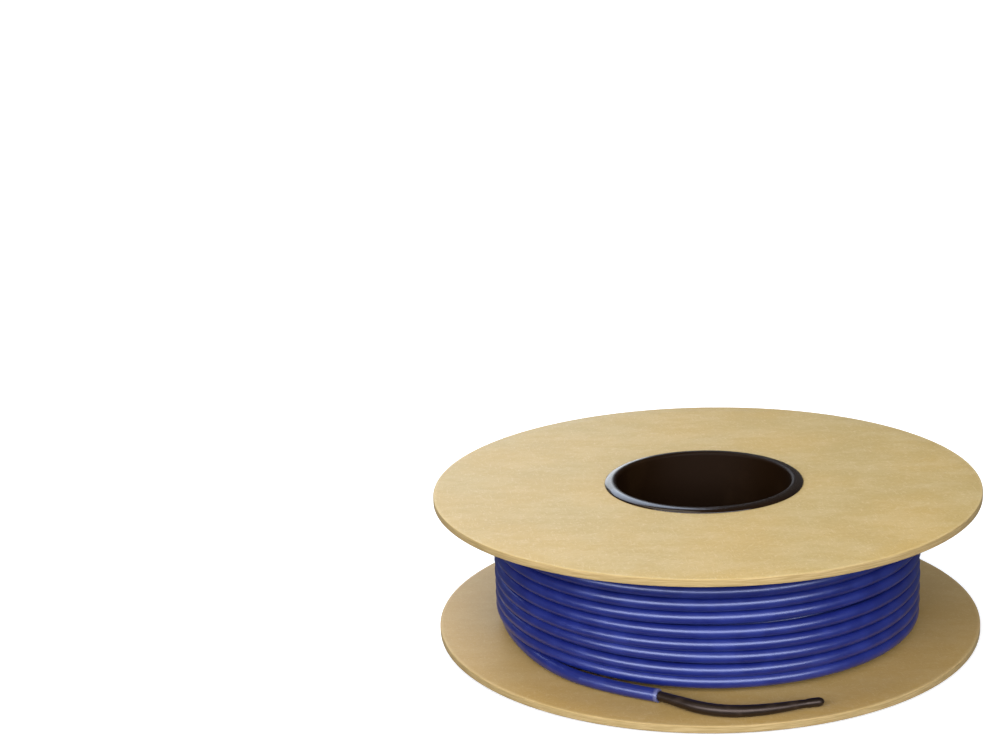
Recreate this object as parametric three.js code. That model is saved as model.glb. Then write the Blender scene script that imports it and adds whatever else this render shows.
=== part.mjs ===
// Underfloor heating cable on its supply reel: two fibreboard flanges held together by a black
// plastic hub, the blue cable wound between them in eleven layers, and its free end lying on the
// lower flange in a black heat-shrink end seal.
// Millimetres, +Z up. The reel stands on its lower lip, with the origin under its centre.

import * as THREE from 'three';

// The cable
const CABLE_DIAMETER = 5;
const LAYERS = 11;
const TURNS_PER_LAYER = 10;
const WINDING_RADIUS = 86.4;

// The flanges
const FLANGE_RADIUS = 110;
const FLANGE_THICKNESS = 3;
const FLANGE_EDGE_ROUND = 0.6;
const INNER_WIDTH = 52.8;

// The hub: a thin tube whose two ends are rolled out over the flanges
const BORE_RADIUS = 35.3;
const HUB_WALL = 2;
const LIP_RADIUS = 40.2;
const LIP_PROUD = 1.4;
const LIP_BORE_ROUND = 2.4;
const LIP_EDGE_ROUND = 0.9;

// The room left between pieces that touch
const SEAT = 0.3;

// How finely the round shapes are cut
const RIM_SIDES = 96;
const WINDING_SIDES = 48;
const HUB_SIDES = 64;
const CABLE_SIDES = 10;
const CABLE_STEPS = 10;
const SLEEVE_SIDES = 12;
const ROUND_STEPS = 3;

const HUB_RADIUS = BORE_RADIUS + HUB_WALL;
const HOLE_RADIUS = HUB_RADIUS + SEAT;
const LOWER_FACE = LIP_PROUD + FLANGE_THICKNESS;
const UPPER_FACE = LOWER_FACE + INNER_WIDTH;
const HEIGHT = UPPER_FACE + LOWER_FACE;
const CABLE_RADIUS = CABLE_DIAMETER / 2;

const fibreboard = new THREE.MeshStandardMaterial({ color: 0xcdb184, roughness: 0.8, metalness: 0 });
const blackPlastic = new THREE.MeshStandardMaterial({ color: 0x17130f, roughness: 0.3, metalness: 0 });
const blueJacket = new THREE.MeshStandardMaterial({ color: 0x1f2c8c, roughness: 0.35, metalness: 0 });
const blackSleeve = new THREE.MeshStandardMaterial({ color: 0x1f1812, roughness: 0.45, metalness: 0 });

// A piece turned about Z from a closed outline of [radius, height] points
function turned(name, outline, sides, material) {
  const points = [...outline, outline[0]].map(([radius, height]) => new THREE.Vector2(radius, height));
  const geometry = new THREE.LatheGeometry(points, sides);
  geometry.rotateX(Math.PI / 2);
  const mesh = new THREE.Mesh(geometry, material);
  mesh.name = name;
  return mesh;
}

// Points on an arc, from one angle to another in degrees, both ends included
function arc(centreRadius, centreHeight, radius, from, to, steps) {
  return Array.from({ length: steps + 1 }, (_, i) => {
    const angle = THREE.MathUtils.degToRad(from + ((to - from) * i) / steps);
    return [centreRadius + radius * Math.cos(angle), centreHeight + radius * Math.sin(angle)];
  });
}

// A flange: a disc with a round hole for the hub, its outer edges eased
function flange(name, bottom) {
  const edge = FLANGE_RADIUS - FLANGE_EDGE_ROUND;
  const top = bottom + FLANGE_THICKNESS;
  const outline = [
    [HOLE_RADIUS, bottom],
    ...arc(edge, bottom + FLANGE_EDGE_ROUND, FLANGE_EDGE_ROUND, -90, 0, ROUND_STEPS - 1),
    ...arc(edge, top - FLANGE_EDGE_ROUND, FLANGE_EDGE_ROUND, 0, 90, ROUND_STEPS - 1),
    [HOLE_RADIUS, top],
  ];
  return turned(name, outline, RIM_SIDES, fibreboard);
}

// The hub: from the bore, round the lower lip, up the outside of the tube and round the upper lip
function hub() {
  const lip = [
    ...arc(BORE_RADIUS + LIP_BORE_ROUND, LIP_BORE_ROUND, LIP_BORE_ROUND, 180, 270, ROUND_STEPS + 1),
    ...arc(LIP_RADIUS - LIP_EDGE_ROUND, LIP_EDGE_ROUND, LIP_EDGE_ROUND, -90, 0, ROUND_STEPS),
    [LIP_RADIUS, LIP_PROUD - SEAT],
    [HUB_RADIUS, LIP_PROUD - SEAT],
  ];
  const upperLip = lip.map(([radius, height]) => [radius, HEIGHT - height]).reverse();
  return turned('hub', [...lip, ...upperLip], HUB_SIDES, blackPlastic);
}

// The winding: one turned solid with its bore. Every turn of the outer layer shows on its side, and
// every layer on its two ends. The outer layer lies half a turn up from the lower flange, in the
// grooves of the layer under it, whose lowest turn shows below it. Between two turns the surface
// goes no deeper than the point where their round sides come together.
const TURN_ARC = 66;
const UNDER_TURN_ARC = 12;
const END_GROOVE = CABLE_RADIUS / 3;
function winding() {
  const bottom = LOWER_FACE + SEAT;
  const top = UPPER_FACE - SEAT;
  const layerPitch = (WINDING_RADIUS - HOLE_RADIUS - CABLE_DIAMETER) / (LAYERS - 1);
  const end = (height, inward) => Array.from({ length: LAYERS - 1 }, (_, i) => {
    const middle = HOLE_RADIUS + CABLE_RADIUS + i * layerPitch;
    return [[middle, height], [middle + layerPitch / 2, height + inward * END_GROOVE]];
  }).flat();

  const firstTurn = CABLE_DIAMETER + SEAT;
  const turnPitch = (INNER_WIDTH - SEAT - CABLE_RADIUS - firstTurn) / (TURNS_PER_LAYER - 1);
  const middle = WINDING_RADIUS - CABLE_RADIUS;
  const side = Array.from({ length: TURNS_PER_LAYER }, (_, i) => (
    arc(middle, LOWER_FACE + firstTurn + i * turnPitch, CABLE_RADIUS, -TURN_ARC, TURN_ARC, ROUND_STEPS)
  )).flat();
  const under = arc(middle - layerPitch, bottom + CABLE_RADIUS, CABLE_RADIUS, -90, UNDER_TURN_ARC, ROUND_STEPS);

  const outline = [
    [HOLE_RADIUS, bottom],
    ...end(bottom, 1).slice(0, -2),
    ...under,
    ...side,
    ...end(top, -1).reverse(),
    [HOLE_RADIUS, top],
  ];
  return turned('cable_winding', outline, WINDING_SIDES, blueJacket);
}

// The free end's route over the lower flange, seen from above: it comes out from under the outer
// layer at the front left and swings out towards the rim.
const TAIL_ROUTE = [
  [-46.6, -75.4], [-38.3, -80.6], [-31.0, -84.6], [-24.6, -87.6], [-17.8, -90.5],
];
const SLEEVE_ROUTE = [
  [-17.5, -90.7], [-10.2, -95.6], [-3.4, -99.9], [3.5, -102.3], [10.6, -102.9], [18.1, -101.8], [25.8, -99.5],
  [33.4, -96.5], [42.0, -93.6],
];

// The end seal's own outline: tight on the cable's core at its mouth, swollen over the crimp,
// drawn down towards the tip and pinched into a short knob
const SLEEVE_SHAPE = [
  [0, 1.8], [0.08, 1.95], [0.2, 2.25], [0.33, 2.3], [0.5, 2.25], [0.68, 2.0], [0.84, 1.65], [0.89, 1.5],
  [0.91, 1.7], [0.97, 1.7], [0.99, 1.3],
];
const TIP_HEIGHT = 1.75;

function tail() {
  const height = LOWER_FACE + SEAT + CABLE_RADIUS;
  const route = new THREE.CatmullRomCurve3(TAIL_ROUTE.map(([x, y]) => new THREE.Vector3(x, y, height)));
  const section = new THREE.Shape(arc(0, 0, CABLE_RADIUS, 0, 360 - 360 / CABLE_SIDES, CABLE_SIDES - 1)
    .map(([x, y]) => new THREE.Vector2(x, y)));
  const geometry = new THREE.ExtrudeGeometry(section, { steps: CABLE_STEPS, extrudePath: route });
  const mesh = new THREE.Mesh(geometry, blueJacket);
  mesh.name = 'cable_tail';
  return mesh;
}

// The end seal is turned straight, then laid along its route. Its middle is as high as the cable's
// at the mouth, and sinks to the height of its own tip, so that it lies on the flange.
function endSleeve() {
  const rest = LOWER_FACE + SEAT;
  const route = new THREE.CatmullRomCurve3(SLEEVE_ROUTE.map(([x, y]) => new THREE.Vector3(x, y, 0)));
  const outline = [[0, 0], ...SLEEVE_SHAPE.map(([share, radius]) => [radius, share]), [0, 1]];
  const geometry = new THREE.LatheGeometry(outline.map(([r, share]) => new THREE.Vector2(r, share)), SLEEVE_SIDES);
  const up = new THREE.Vector3(0, 0, 1);
  const places = geometry.attributes.position;
  for (let i = 0; i < places.count; i += 1) {
    const share = places.getY(i);
    const along = route.getTangentAt(share);
    const across = new THREE.Vector3().crossVectors(along, up);
    const lift = CABLE_RADIUS + (TIP_HEIGHT - CABLE_RADIUS) * share;
    const point = route.getPointAt(share)
      .addScaledVector(across, places.getX(i))
      .addScaledVector(up, rest + lift + places.getZ(i));
    places.setXYZ(i, point.x, point.y, point.z);
  }
  const mesh = new THREE.Mesh(geometry, blackSleeve);
  mesh.name = 'end_sleeve';
  return mesh;
}

const reel = new THREE.Group();
reel.add(hub());
reel.add(flange('flange_lower', LIP_PROUD));
reel.add(flange('flange_upper', UPPER_FACE));
reel.add(winding());
reel.add(tail());
reel.add(endSleeve());

export default reel;
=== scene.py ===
"""Underfloor heating cable on its supply reel: how each piece looks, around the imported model.

Metres, +Z up. The reel stands on the hub's lower lip, and the photograph looks along +Y.
"""

import math

import bpy
import numpy as np
from mathutils import Matrix, Vector


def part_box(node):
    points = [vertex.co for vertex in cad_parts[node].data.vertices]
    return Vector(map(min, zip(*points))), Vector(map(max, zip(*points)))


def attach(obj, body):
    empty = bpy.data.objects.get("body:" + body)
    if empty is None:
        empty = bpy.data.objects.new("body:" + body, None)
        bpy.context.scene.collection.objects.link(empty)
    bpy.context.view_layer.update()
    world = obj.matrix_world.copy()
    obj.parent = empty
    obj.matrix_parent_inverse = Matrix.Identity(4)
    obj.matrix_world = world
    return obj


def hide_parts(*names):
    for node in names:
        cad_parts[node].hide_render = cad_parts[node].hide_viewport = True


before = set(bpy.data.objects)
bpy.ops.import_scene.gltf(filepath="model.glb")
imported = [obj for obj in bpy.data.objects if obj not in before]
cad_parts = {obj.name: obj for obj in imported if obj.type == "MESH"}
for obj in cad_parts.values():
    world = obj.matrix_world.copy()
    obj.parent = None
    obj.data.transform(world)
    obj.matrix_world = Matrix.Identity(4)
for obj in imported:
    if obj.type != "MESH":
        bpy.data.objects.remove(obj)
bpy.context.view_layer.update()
MM = 0.001


# The hub is one black plastic moulding: a thin tube that the reel turns on while the cable is paid
# out, with both ends rolled out over the flanges to hold them. Its lips are smooth and glossy. The
# photograph shows the bore only as a dark brown hollow, so its duller finish is chosen to match.
hub_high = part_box("hub")[1]
HEIGHT = hub_high.z
LIP_RADIUS = hub_high.x
BORE_RADIUS = 35.3 * MM
HUB_RADIUS = 37.3 * MM
BORE_ROUND = 1.3 * MM
LIP_ROLL = 1.4 * MM
ROUND_STEPS = 10
ROLL_STEPS = 12
HUB_SIDES = 192
CRISP_EDGE = math.radians(50)


def arc(radius, height, size, start, stop, steps):
    """Points on an arc in a turned piece's outline, from one angle to another in degrees."""
    angles = np.radians(np.linspace(start, stop, steps + 1))
    return [(radius + size * math.cos(a), height + size * math.sin(a)) for a in angles]


def new_mesh(name, points, faces):
    """An object of that name from points and faces, smooth but for its real edges."""
    mesh = bpy.data.meshes.new(name)
    mesh.from_pydata([tuple(p) for p in points], [], faces)
    mesh.validate()
    for face in mesh.polygons:
        face.use_smooth = True
    mesh.set_sharp_from_angle(angle=CRISP_EDGE)
    piece = bpy.data.objects.new(name, mesh)
    bpy.context.scene.collection.objects.link(piece)
    return piece


def turned_mesh(outline, sides):
    """Points and faces of a closed outline of (radius, height) turned about Z."""
    count = len(outline)
    turns = np.arange(sides) * 2 * math.pi / sides
    points = [(r * math.cos(t), r * math.sin(t), z) for t in turns for r, z in outline]
    faces = []
    for i in range(sides):
        here, there = i * count, (i + 1) % sides * count
        for j in range(count):
            k = (j + 1) % count
            faces.append((here + j, there + j, there + k, here + k))
    return points, faces


class Wire:
    """An output of a material's node. A sum written on it adds the Math nodes that work it out."""

    def __init__(self, finish, socket):
        self.finish = finish
        self.socket = socket

    def math(self, operation, first, second):
        return self.finish.node("Math", {"operation": operation}, {0: first, 1: second})

    def __add__(self, other):
        return self.math("ADD", self, other)

    def __radd__(self, other):
        return self.math("ADD", other, self)

    def __sub__(self, other):
        return self.math("SUBTRACT", self, other)

    def __rsub__(self, other):
        return self.math("SUBTRACT", other, self)

    def __mul__(self, other):
        return self.math("MULTIPLY", self, other)

    def __rmul__(self, other):
        return self.math("MULTIPLY", other, self)

    def between(self, low, high):
        """0 where this is under low, 1 over high, and a smooth step between them."""
        settings = {"interpolation_type": "SMOOTHSTEP"}
        return self.finish.node("MapRange", settings, {0: self, 1: low, 2: high})


class Finish:
    """A material with one Principled shader, whose maps are written as expressions."""

    def __init__(self, name, constants):
        self.material = bpy.data.materials.new(name)
        self.material.use_nodes = True
        self.tree = self.material.node_tree
        self.shader = self.tree.nodes["Principled BSDF"]
        self.feed(self.shader, constants)
        self.place = self.node("TexCoord", output="Object")
        level = self.node("VectorMath", {"operation": "MULTIPLY"}, {0: self.place, 1: (1, 1, 0)})
        self.radius = self.node("VectorMath", {"operation": "LENGTH"}, {0: level}, output="Value")

    def feed(self, node, sockets):
        for name, value in sockets.items():
            if isinstance(value, Wire):
                self.tree.links.new(value.socket, node.inputs[name])
            else:
                node.inputs[name].default_value = value

    def node(self, kind, settings=None, sockets=None, output=0):
        """Any node: its type, then its settings, then the values or links of its sockets."""
        made = self.tree.nodes.new("ShaderNode" + kind)
        for name, value in (settings or {}).items():
            setattr(made, name, value)
        self.feed(made, sockets or {})
        return Wire(self, made.outputs[output])

    def mix(self, share, first, second):
        """The first colour where share is 0, the second where it is 1."""
        settings = {"data_type": "RGBA"}
        return self.node("Mix", settings, {0: share, 6: first, 7: second}, output=2)

    def noise(self, size, stretch=(1, 1, 1), turn=0.0, detail=3.0, roughness=0.5):
        """Noise from 0 to 1 with lumps of about that size in metres, stretched and turned about Z."""
        scale = tuple(1 / (size * s) for s in stretch)
        rotation = (0, 0, turn)
        place = self.node("Mapping", {"vector_type": "TEXTURE"}, {0: self.place, 2: rotation})
        place = self.node("VectorMath", {"operation": "MULTIPLY"}, {0: place, 1: scale})
        sockets = {"Vector": place, "Scale": 1.0, "Detail": detail, "Roughness": roughness}
        return self.node("TexNoise", None, sockets)

    def bump(self, height, depth, strength=1.0):
        """The shader's normal from a height of 0 to 1 that stands for a depth in metres."""
        sockets = {"Strength": strength, "Distance": depth, "Height": height}
        self.feed(self.shader, {"Normal": self.node("Bump", None, sockets)})

    def cover(self, piece):
        """Gives the piece this material and no other."""
        piece.data.materials.clear()
        piece.data.materials.append(self.material)


def lip_outline():
    """The lower half of the hub's outline, from the bore round the rolled lip to the tube's outside."""
    crest = BORE_RADIUS + BORE_ROUND
    rolled = arc(0, 0, 1, -90, 0, ROLL_STEPS)
    return [
        *arc(crest, BORE_ROUND, BORE_ROUND, 180, 270, ROUND_STEPS),
        *[(crest + (LIP_RADIUS - crest) * r, LIP_ROLL * (1 + z)) for r, z in rolled[1:]],
        (HUB_RADIUS, LIP_ROLL),
    ]


def make_hub():
    lower = lip_outline()
    upper = [(r, HEIGHT - z) for r, z in reversed(lower)]
    return new_mesh("hub_moulding", *turned_mesh(lower + upper, HUB_SIDES))


def moulded_black():
    plastic = Finish("moulded_black", {"IOR": 1.5, "Specular IOR Level": 0.08, "Coat Roughness": 0.12})
    glossy_from = BORE_RADIUS + 0.9 * BORE_ROUND
    bore = 1 - plastic.radius.between(glossy_from, glossy_from + BORE_ROUND)
    smudges = plastic.noise(14 * MM, detail=5.0).between(0.45, 0.75)
    grain = plastic.noise(0.35 * MM, detail=2.0)
    plastic.feed(plastic.shader, {
        "Base Color": plastic.mix(smudges, (0.009, 0.0035, 0.0008, 1), (0.013, 0.0055, 0.0015, 1)),
        "Roughness": 0.24 + 0.26 * bore + 0.08 * smudges + 0.04 * grain,
        "Coat Weight": 0.6 * (1 - bore),
    })
    plastic.bump(grain, 0.006 * MM)
    return plastic


hub_piece = make_hub()
moulded_black().cover(hub_piece)
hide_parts("hub")
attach(hub_piece, "root")


# The two flanges are discs die-cut from 3 mm fibreboard, bare and uncoated. The hot press leaves a
# slight sheen and fine pressed fibres on both faces, and the cut rim shows the layers of the board.
FLANGE_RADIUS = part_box("flange_upper")[1].x
FLANGE_SIDES = 256
FACE_RINGS = 7
RIM_ROUND = 0.5 * MM
RIM_STEPS = 5
# The room left between pieces that touch
SEAT = 0.3 * MM
HOLE_RADIUS = HUB_RADIUS + SEAT
WARP = 0.15 * MM
FACE_TAN = (0.455, 0.328, 0.116, 1)
FACE_WARM = (0.495, 0.338, 0.106, 1)
FLECK_DARK = (0.28, 0.18, 0.075, 1)
FLECK_PALE = (0.72, 0.60, 0.37, 1)
RIM_TAN = (0.47, 0.34, 0.16, 1)
RIM_LAYER = (0.33, 0.23, 0.09, 1)
# The colour that the painted shade darkens a disc's board towards
SHADOWED_BOARD_COLOUR = (0.32, 0.17, 0.04, 1)
# How much each disc's board is darkened and browned: painted shade for the upper disc's shadow,
# which makes the lower one look browner. How much browner each disc's board is made, as the lower
# one looks browner in the photograph. Part of that may be shade rather than board.
PAINTED_SHADE_SHARES = {"upper": 0.0, "lower": 0.45}


def make_flange(name, node):
    """A disc with a hole for the hub, its rim eased, and hardly out of flat as such board is."""
    low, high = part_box(node)
    edge = FLANGE_RADIUS - RIM_ROUND
    rings = np.linspace(HOLE_RADIUS, edge, FACE_RINGS + 2)[1:-1]
    outline = [
        (HOLE_RADIUS, low.z),
        *[(r, low.z) for r in rings],
        *arc(edge, low.z + RIM_ROUND, RIM_ROUND, -90, 0, RIM_STEPS),
        *arc(edge, high.z - RIM_ROUND, RIM_ROUND, 0, 90, RIM_STEPS),
        *[(r, high.z) for r in reversed(rings)],
        (HOLE_RADIUS, high.z),
    ]
    points, faces = turned_mesh(outline, FLANGE_SIDES)
    for i, (x, y, z) in enumerate(points):
        out = (math.hypot(x, y) - LIP_RADIUS) / (FLANGE_RADIUS - LIP_RADIUS)
        turn = math.atan2(y, x)
        lift = WARP * max(out, 0) ** 2 * math.sin(2 * turn + low.z / MM)
        points[i] = (x, y, z + lift)
    return new_mesh(name, points, faces)


def pressed_fibreboard(name, shade):
    board = Finish(name, {
        "IOR": 1.45, "Specular IOR Level": 0.4, "Sheen Weight": 0.04, "Sheen Roughness": 0.45,
    })
    cloudy = board.noise(45 * MM, detail=3.0, roughness=0.5).between(0.3, 0.7)
    blotch = board.noise(8 * MM, stretch=(2.2, 1, 1), detail=4.0, roughness=0.6)
    colour = board.mix(cloudy, FACE_TAN, FACE_WARM)
    colour = board.mix(0.16 * blotch.between(0.40, 0.66), colour, FLECK_PALE)
    relief = 0.4 * blotch
    for direction in (0.3, 1.3, 2.4):
        fibres = board.noise(0.35 * MM, stretch=(7, 1, 1), turn=direction, detail=1.5)
        colour = board.mix(0.24 * fibres.between(0.60, 0.76), colour, FLECK_DARK)
        pale = board.noise(0.5 * MM, stretch=(6, 1, 1), turn=direction + 0.5, detail=1.5)
        colour = board.mix(0.26 * pale.between(0.58, 0.74), colour, FLECK_PALE)
        relief = relief + 0.25 * fibres + 0.15 * pale
    rim = board.radius.between(FLANGE_RADIUS - 0.3 * MM, FLANGE_RADIUS - 0.05 * MM)
    layers = board.noise(0.22 * MM, stretch=(40, 40, 1), detail=2.0).between(0.35, 0.7)
    # Painted shade: the board is darkened and browned towards the shaded colour by the disc's share
    colour = board.mix(shade, colour, SHADOWED_BOARD_COLOUR)
    colour = board.mix(rim, colour, board.mix(layers, RIM_LAYER, RIM_TAN))
    # Painted highlight: a band of the face just inside the rim is made paler, where the eased edge
    # catches the light
    painted_edge_highlight = board.radius.between(FLANGE_RADIUS - 1.6 * MM, FLANGE_RADIUS - 0.4 * MM) * (1 - rim)
    colour = board.mix(0.15 * painted_edge_highlight, colour, FLECK_PALE)
    board.feed(board.shader, {
        "Base Color": colour,
        "Roughness": 0.50 + 0.12 * blotch + 0.2 * rim,
    })
    board.bump(relief + 0.6 * rim * layers, 0.05 * MM, 0.7)
    return board


for end, shade in PAINTED_SHADE_SHARES.items():
    node = "flange_" + end
    flange_piece = make_flange("fibreboard_" + end, node)
    pressed_fibreboard("fibreboard_" + end, shade).cover(flange_piece)
    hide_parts(node)
    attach(flange_piece, "root")


# The cable is wound tightly between the flanges. It is taken to be about 43 m in eleven layers, of
# which the outer one shows, and the next through its gaps. Those two are laid as one length of
# cable over a turned core that stands for the nine layers below.
CABLE_RADIUS = 2.5 * MM
CABLE_SIDES = 20
FLOOR_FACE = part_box("flange_lower")[1].z
CEILING_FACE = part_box("flange_upper")[0].z
OUTER_LAYER = 83.9 * MM
LAYER_PITCH = 4.38 * MM
UNDER_LAYER = OUTER_LAYER - LAYER_PITCH
CORE_LAYERS = 9
CORE_TURNS = 11
CORE_SIDES = 96
TURN_STEPS = 4
# How far the middle of the lowest and the highest turn is from the flange it lies against
LOWEST = 2.6 * MM
# Where round the reel the turns were placed, in degrees, and how high in millimetres over
# the lower flange each turn of the outer layer passes there, from the top turn to the bottom one
LEFT, FRONT, RIGHT = -140, -90, -50
TURN_HEIGHTS = [
    (50.2, 50.2, 50.0), (45.6, 45.6, 45.3), (40.8, 40.8, 40.5), (35.8, 35.8, 35.5),
    (30.8, 30.45, 30.2), (25.8, 25.15, 24.7), (21.0, 20.05, 19.4), (16.6, 15.2, 14.4),
    (11.9, 9.6, 9.3), (7.3, 5.2, 4.9),
]
# The last turn is taken to lie on the flange behind, where nothing shows it, and comes out from
# under the others at the left: degrees round the reel, and millimetres out from the outer layer
LAST_TURN = [(120, -1.0), (200, -1.9), (212, -1.1), (222, 1.1)]
# How far round in degrees the under layer is wound, how far the cable takes to climb out of it, and
# how far it runs from there to the first place above; then how far the winding is laid at a step,
# and how far its two ends take to settle
UNDER_SWEEP = 3430
CLIMB = 45
RUN_IN = 60
WOUND_STEP = 3.0
SETTLE = 30
# Windows, in steps, that ease the cable from place to place, outward and upward
EASE_OUTWARD, EASE_UPWARD = 9, 15
# How far the cable wanders out of its even lay, the window of that wander, and where it dies away
SWAY, RISE = 0.12 * MM, 0.10 * MM
WANDER_WINDOW = 31
WANDER_ENDS, WANDER_FADE = 150, 60
WANDER_ROOM = 4 * MM
WANDER_SEED = 7
# How many steps the winding's route goes on past the free end's start, so that it is eased there too
PAST_STEPS = 7

# The free end's route over the lower flange, seen from above in millimetres, which the winding
# meets where it starts
TAIL_ROUTE = [(-46.6, -75.4), (-38.3, -80.6), (-31.0, -84.6), (-24.6, -87.6), (-17.8, -90.5)]
TAIL_HEIGHT = FLOOR_FACE + SEAT + CABLE_RADIUS
TAIL_START_RADIUS = math.hypot(*TAIL_ROUTE[0]) * MM
TAIL_START_ANGLE = 360 + math.degrees(math.atan2(TAIL_ROUTE[0][1], TAIL_ROUTE[0][0]))


def smooth_route(points, height, step=1.0):
    """A smooth line through given points, seen from above in millimetres, at a height in metres."""
    spots = [Vector((x * MM, y * MM, 0)) for x, y in points]
    spots = [2 * spots[0] - spots[1], *spots, 2 * spots[-1] - spots[-2]]
    line = []
    for i in range(1, len(spots) - 2):
        before, start, stop, after = spots[i - 1:i + 3]
        steps = max(2, round((stop - start).length / (step * MM)))
        for s in range(steps):
            t = s / steps
            line.append(0.5 * (2 * start + (stop - before) * t
                               + (2 * before - 5 * start + 4 * stop - after) * t ** 2
                               + (3 * start - before - 3 * stop + after) * t ** 3))
    line.append(spots[-2])
    return np.array([(p.x, p.y, height) for p in line])


tail_path = smooth_route(TAIL_ROUTE, TAIL_HEIGHT)


def make_core():
    """The hidden layers as one turned ring, its ends and side rounded where the turns lie."""
    inside = HOLE_RADIUS
    bottom, top = FLOOR_FACE + LOWEST, CEILING_FACE - LOWEST
    middles = [inside + CABLE_RADIUS + i * LAYER_PITCH for i in range(CORE_LAYERS)]
    lower = [p for m in middles for p in arc(m, bottom, CABLE_RADIUS, -150, -30, TURN_STEPS)]
    upper = [p for m in reversed(middles) for p in arc(m, top, CABLE_RADIUS, 30, 150, TURN_STEPS)]
    heights = np.linspace(bottom, top, CORE_TURNS)
    side = [p for h in heights for p in arc(middles[-1], h, CABLE_RADIUS, -60, 60, TURN_STEPS)]
    outline = [(inside, bottom), *lower, *side, *upper, (inside, top)]
    return turned_mesh(outline, CORE_SIDES)


def tube(path, radii, sides, before=None, after=None):
    """Points and faces of a closed tube along a path, level across, its ends square to what goes on."""
    path = np.asarray(path, float)
    before = 2 * path[0] - path[1] if before is None else before
    after = 2 * path[-1] - path[-2] if after is None else after
    longer = np.vstack([before, path, after])
    along = longer[2:] - longer[:-2]
    along /= np.linalg.norm(along, axis=1)[:, None]
    across = np.cross(along, (0, 0, 1))
    across /= np.linalg.norm(across, axis=1)[:, None]
    up = np.cross(across, along)
    turns = np.arange(sides) * 2 * math.pi / sides
    radii = np.broadcast_to(radii, len(path))
    rings = (path[:, None, :]
             + radii[:, None, None] * (np.cos(turns)[None, :, None] * across[:, None, :]
                                       + np.sin(turns)[None, :, None] * up[:, None, :]))
    points = [tuple(p) for p in rings.reshape(-1, 3)]
    faces = []
    for i in range(len(path) - 1):
        for j in range(sides):
            k = (j + 1) % sides
            here, there = i * sides, (i + 1) * sides
            faces.append((here + j, here + k, there + k, there + j))
    faces.append(tuple(reversed(range(sides))))
    faces.append(tuple(range((len(path) - 1) * sides, len(path) * sides)))
    return points, faces


def smooth(values, window):
    """A row of values eased over a window of that many."""
    weights = np.hanning(window) / np.hanning(window).sum()
    return np.convolve(np.pad(values, window // 2, mode="edge"), weights, mode="valid")


def wound_stations():
    """Angle in degrees, radius and height of the cable's middle where its route is laid down."""
    top = CEILING_FACE - LOWEST
    low = FLOOR_FACE + LOWEST
    first = -360 * (len(TURN_HEIGHTS) - 1)
    climb = first + LEFT - RUN_IN
    under_start = climb - CLIMB - UNDER_SWEEP
    stations = [
        (under_start - SETTLE, UNDER_LAYER, low + 2 * CABLE_RADIUS),
        (under_start, UNDER_LAYER, low + 2 * CABLE_RADIUS),
        (climb - CLIMB, UNDER_LAYER, top),
        (climb, OUTER_LAYER, top),
    ]
    for i, heights in enumerate(TURN_HEIGHTS):
        for place, height in zip((LEFT, FRONT, RIGHT), heights):
            stations.append((first + 360 * i + place, OUTER_LAYER, FLOOR_FACE + height * MM))
    for place, outward in LAST_TURN:
        stations.append((place, OUTER_LAYER + outward * MM, low))
    # Out to the free end, and a little past its start, so that the two meet without a bend
    stations += [
        (232, OUTER_LAYER + 3.4 * MM, TAIL_HEIGHT),
        (TAIL_START_ANGLE, TAIL_START_RADIUS, TAIL_HEIGHT),
        (TAIL_START_ANGLE + 7, TAIL_START_RADIUS + 0.7 * MM, TAIL_HEIGHT),
        (TAIL_START_ANGLE + SETTLE, TAIL_START_RADIUS + 4 * MM, TAIL_HEIGHT),
    ]
    return np.array(stations).T


def wound_path():
    """The cable's middle through the last two layers: up the one, down the other, to the free end."""
    places, radii, heights = wound_stations()
    past = TAIL_START_ANGLE + WOUND_STEP * np.arange(1, PAST_STEPS + 1)
    angles = np.arange(TAIL_START_ANGLE, places[0], -WOUND_STEP)[::-1]
    angles = np.concatenate([angles, past])
    radius = smooth(np.interp(angles, places, radii), EASE_OUTWARD)
    height = smooth(np.interp(angles, places, heights), EASE_UPWARD)

    # It wanders only where it has room to: not in the last turn, and not against a flange
    room_below = height - (FLOOR_FACE + LOWEST)
    room_above = CEILING_FACE - LOWEST - height
    wander_share = np.clip((WANDER_ENDS - angles) / WANDER_FADE, 0, 1)
    wander_share *= np.clip(room_below / WANDER_ROOM, 0, 1)
    wander_share *= np.clip(room_above / WANDER_ROOM, 0, 1)
    rng = np.random.default_rng(WANDER_SEED)
    for values, size in ((radius, SWAY), (height, RISE)):
        wander = smooth(rng.normal(size=len(angles)), WANDER_WINDOW)
        values += wander / wander.std() * size * wander_share

    # Its last stretch settles exactly onto the free end's start
    last = -PAST_STEPS - 1
    settle = np.clip((angles - angles[last] + SETTLE) / SETTLE, 0, 1)
    radius += (TAIL_START_RADIUS - radius[last]) * settle
    height += (TAIL_HEIGHT - height[last]) * settle
    turns, radius, height = (values[:last + 1] for values in (np.radians(angles), radius, height))
    return np.stack([radius * np.cos(turns), radius * np.sin(turns), height], 1)


def join_meshes(parts):
    """One list of points and one of faces from several."""
    points, faces = [], []
    for part_points, part_faces in parts:
        start = len(points)
        points += part_points
        faces += [tuple(start + i for i in face) for face in part_faces]
    return points, faces


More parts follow.
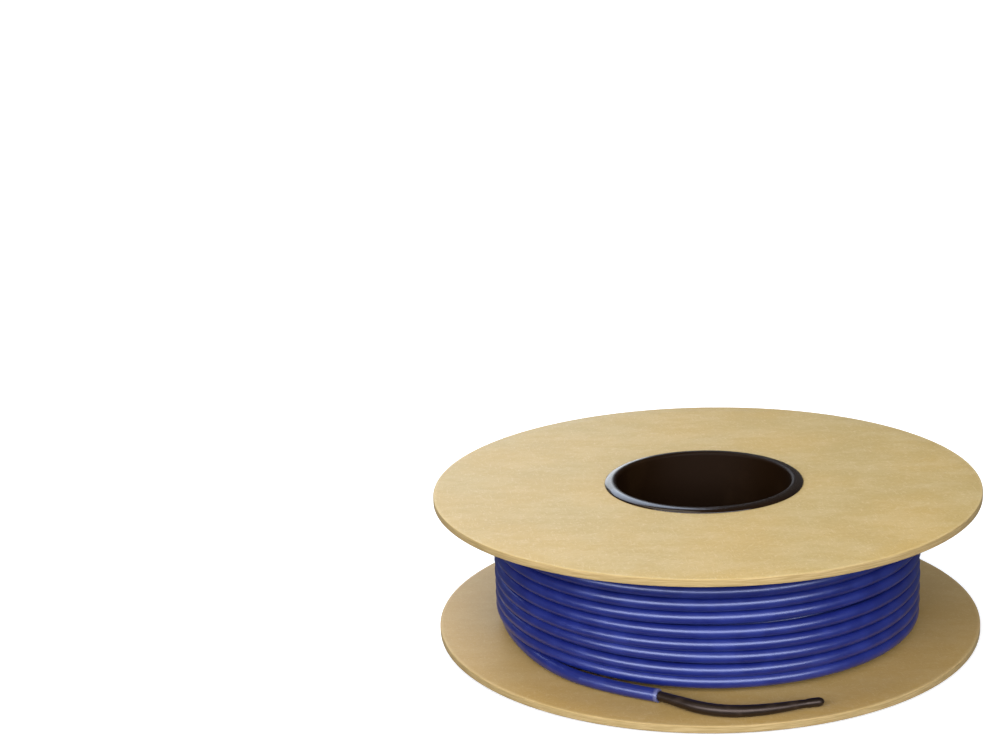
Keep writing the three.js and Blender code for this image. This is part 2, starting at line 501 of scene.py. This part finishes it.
def blue_jacket():
    jacket = Finish("blue_jacket", {
        "IOR": 1.52, "Specular IOR Level": 1.0, "Specular Tint": (0.60, 0.69, 1.0, 1),
        "Coat Roughness": 0.16,
    })
    cloudy = jacket.noise(9 * MM, detail=4.0).between(0.4, 0.7)
    scuffs = jacket.noise(1.6 * MM, stretch=(1, 1, 0.5), detail=6.0, roughness=0.7).between(0.60, 0.78)
    grain = jacket.noise(0.3 * MM, detail=2.0)
    colour = jacket.mix(cloudy, (0.006, 0.012, 0.130, 1), (0.010, 0.019, 0.165, 1))
    colour = jacket.mix(0.12 * scuffs, colour, (0.16, 0.20, 0.42, 1))
    # Where the jacket stops in front of the end seal, its last millimetre is pale
    ends = {0: jacket.place, 1: tuple(tail_path[-1])}
    to_cut = jacket.node("VectorMath", {"operation": "DISTANCE"}, ends, output="Value")
    pale = 1 - to_cut.between(CABLE_RADIUS + 0.1 * MM, CABLE_RADIUS + 0.6 * MM)
    colour = jacket.mix(0.6 * pale, colour, (0.15, 0.16, 0.31, 1))
    jacket.feed(jacket.shader, {
        "Base Color": colour,
        "Roughness": 0.36 + 0.05 * cloudy + 0.15 * scuffs,
        "Coat Weight": 0.20 - 0.1 * scuffs,
    })
    jacket.bump(grain + 0.8 * jacket.noise(4 * MM, detail=2.0), 0.012 * MM)
    return jacket


jacket = blue_jacket()
wound = wound_path()
winding_piece = new_mesh("wound_cable", *join_meshes([
    make_core(),
    tube(wound, CABLE_RADIUS, CABLE_SIDES, after=tail_path[1]),
]))
jacket.cover(winding_piece)
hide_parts("cable_winding")
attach(winding_piece, "root")


# The free end is the last of the cable. It comes out from under the outer layer at the front left,
# lies on the lower flange, and swings out towards the rim, where it goes into its end seal. A pale
# ring shows where its jacket stops, which is made as a slightly flared end.
FLARE = 0.1 * MM
tail_radii = np.full(len(tail_path), CABLE_RADIUS)
tail_radii[-2:] += FLARE
tail_piece = new_mesh("free_end", *tube(tail_path, tail_radii, CABLE_SIDES, before=wound[-2]))
jacket.cover(tail_piece)
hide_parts("cable_tail")
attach(tail_piece, "root")


# The end seal is a length of black heat-shrink tubing, drawn tight over the cable's stripped end:
# swollen over the crimp in its middle, and pinched at the tip into a short knob.
SLEEVE_ROUTE = [
    (-17.5, -90.7), (-10.2, -95.6), (-3.4, -99.9), (3.5, -102.3), (10.6, -102.9),
    (18.1, -101.8), (25.8, -99.5), (33.4, -96.5), (42.0, -93.6),
]
# How thick it is, in millimetres of radius, at each share of its length
SLEEVE_SHAPE = [
    (0, 1.8), (0.08, 1.95), (0.2, 2.25), (0.33, 2.3), (0.5, 2.25), (0.68, 2.0),
    (0.84, 1.65), (0.89, 1.5), (0.91, 1.7), (0.97, 1.7), (0.99, 1.3), (1.0, 0.6),
]
TIP_HEIGHT = 1.75 * MM
SLEEVE_SIDES = 28


def make_sleeve():
    path = smooth_route(SLEEVE_ROUTE, 0, step=0.5)
    steps = np.linalg.norm(np.diff(path, axis=0), axis=1)
    share = np.concatenate([[0], np.cumsum(steps)]) / steps.sum()
    radii = np.interp(share, *np.array(SLEEVE_SHAPE).T) * MM
    path[:, 2] = FLOOR_FACE + SEAT + CABLE_RADIUS + (TIP_HEIGHT - CABLE_RADIUS) * share
    return tube(path, radii, SLEEVE_SIDES)


def shrunk_tubing():
    tubing = Finish("shrunk_tubing", {"IOR": 1.5, "Specular Tint": (1.0, 0.80, 0.74, 1)})
    creases = tubing.noise(1.2 * MM, stretch=(3, 1, 1), detail=3.0)
    dust = tubing.noise(5 * MM, detail=5.0).between(0.5, 0.75)
    colour = tubing.mix(dust, (0.008, 0.0045, 0.0028, 1), (0.020, 0.012, 0.008, 1))
    tubing.feed(tubing.shader, {"Base Color": colour, "Roughness": 0.38 + 0.15 * dust})
    tubing.bump(creases, 0.05 * MM, 0.7)
    return tubing


sleeve_piece = new_mesh("end_seal", *make_sleeve())
shrunk_tubing().cover(sleeve_piece)
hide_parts("end_sleeve")
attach(sleeve_piece, "root")


# The studio: a long strip of light in front of the reel, a small window and a patch of sky behind
# it at the left, one soft panel above, and a dim white surround.
def area_light(name, azimuth, elevation, distance, width, height, power, colour):
    """A soft panel that faces the reel from a compass direction, 0 being the camera's side."""
    a, e = math.radians(azimuth), math.radians(elevation)
    back = Vector((math.sin(a) * math.cos(e), -math.cos(a) * math.cos(e), math.sin(e)))
    data = bpy.data.lights.new(name, "AREA")
    data.shape = "RECTANGLE"
    data.size, data.size_y = width, height
    data.energy = power
    data.color = colour
    light = bpy.data.objects.new(name, data)
    light.location = Vector((0, 0, HEIGHT / 2)) + back * distance
    light.rotation_mode = "QUATERNION"
    light.rotation_quaternion = back.to_track_quat("Z", "Y")
    light.visible_camera = False
    bpy.context.scene.collection.objects.link(light)


area_light(
    "front_strip", azimuth=-2, elevation=24, distance=1.2, width=3.2, height=0.55,
    power=43, colour=(0.97, 0.98, 1.0),
)
area_light(
    "window", azimuth=-164, elevation=14, distance=0.95, width=0.38, height=0.42,
    power=1.2, colour=(0.88, 0.94, 1.0),
)
area_light(
    "sky", azimuth=-150, elevation=40, distance=1.0, width=0.8, height=0.5,
    power=5.0, colour=(0.68, 0.80, 1.0),
)
area_light(
    "overhead", azimuth=-80, elevation=68, distance=0.8, width=0.5, height=0.5,
    power=2.2, colour=(1.0, 0.90, 0.72),
)

SURROUND_STRENGTH = 0.10
world = bpy.data.worlds.new("studio")
world.use_nodes = True
surround = world.node_tree.nodes["Background"]
surround.inputs["Color"].default_value = (1.0, 1.0, 1.0, 1)
surround.inputs["Strength"].default_value = SURROUND_STRENGTH
bpy.context.scene.world = world

# A wide white floor under a dome, in metres, brighter away from the reel so that it stays white.
# Only the camera sees it, and the reel's shade on it: it throws no light or reflection on the reel.
FLOOR_RINGS = (0, 0.5, 1, 3)
DOME_RADIUS = 12
DOME_STEPS = 12
BACKDROP_SIDES = 48
SHADE_REACH = (0.15, 1.2)


def make_backdrop():
    sweep = [*[(r, 0) for r in FLOOR_RINGS], *arc(0, 0, DOME_RADIUS, 0, 90, DOME_STEPS)]
    points, faces = turned_mesh(sweep, BACKDROP_SIDES)
    # The sweep is open: nothing joins the top of the dome to the middle of the floor
    faces = [f for i, f in enumerate(faces) if (i + 1) % len(sweep)]
    return new_mesh("backdrop", points, faces)


def white_paint():
    paint = Finish("backdrop_paint", {
        "Base Color": (0.85, 0.85, 0.85, 1), "Roughness": 0.9, "Specular IOR Level": 0.1,
        "Emission Strength": 1.0,
    })
    away = paint.radius.between(*SHADE_REACH)
    glow = paint.mix(away, (0.55, 0.55, 0.55, 1), (1.0, 1.0, 1.0, 1))
    paint.feed(paint.shader, {"Emission Color": glow})
    return paint


backdrop_piece = make_backdrop()
white_paint().cover(backdrop_piece)
backdrop_piece.visible_diffuse = False
backdrop_piece.visible_glossy = False
backdrop_piece.visible_shadow = False


# The camera stands in front of the reel and a little above it, turned so that the reel lies to the
# right of the picture and below its middle.
PICTURE_WIDTH = 1000
FOCAL_LENGTH_PIXELS = 1873.5
CAMERA_DISTANCE = 776.5 * MM
CAMERA_ELEVATION = 0.3530
CAMERA_PAN = -0.1076
CAMERA_TILT = -0.0953
CAMERA_ROLL = 0.0084

camera_data = bpy.data.cameras.new("camera")
camera_data.lens = FOCAL_LENGTH_PIXELS * camera_data.sensor_width / PICTURE_WIDTH
camera_data.clip_start, camera_data.clip_end = 0.01, 100
camera = bpy.data.objects.new("camera", camera_data)
back = Vector((0, -math.cos(CAMERA_ELEVATION), math.sin(CAMERA_ELEVATION)))
right = Vector((1, 0, 0))
level = Matrix((right, back.cross(right), back))
turn = (Matrix.Rotation(CAMERA_ROLL, 3, "Z")
        @ Matrix.Rotation(CAMERA_TILT, 3, "X")
        @ Matrix.Rotation(CAMERA_PAN, 3, "Y"))
camera.matrix_world = Matrix.LocRotScale(
    Vector((0, 0, HEIGHT / 2)) + back * CAMERA_DISTANCE,
    (turn @ level).transposed(),
    None,
)
bpy.context.scene.collection.objects.link(camera)
bpy.context.scene.camera = camera

view_settings = bpy.context.scene.view_settings
view_settings.view_transform = "Standard"
view_settings.look = "None"
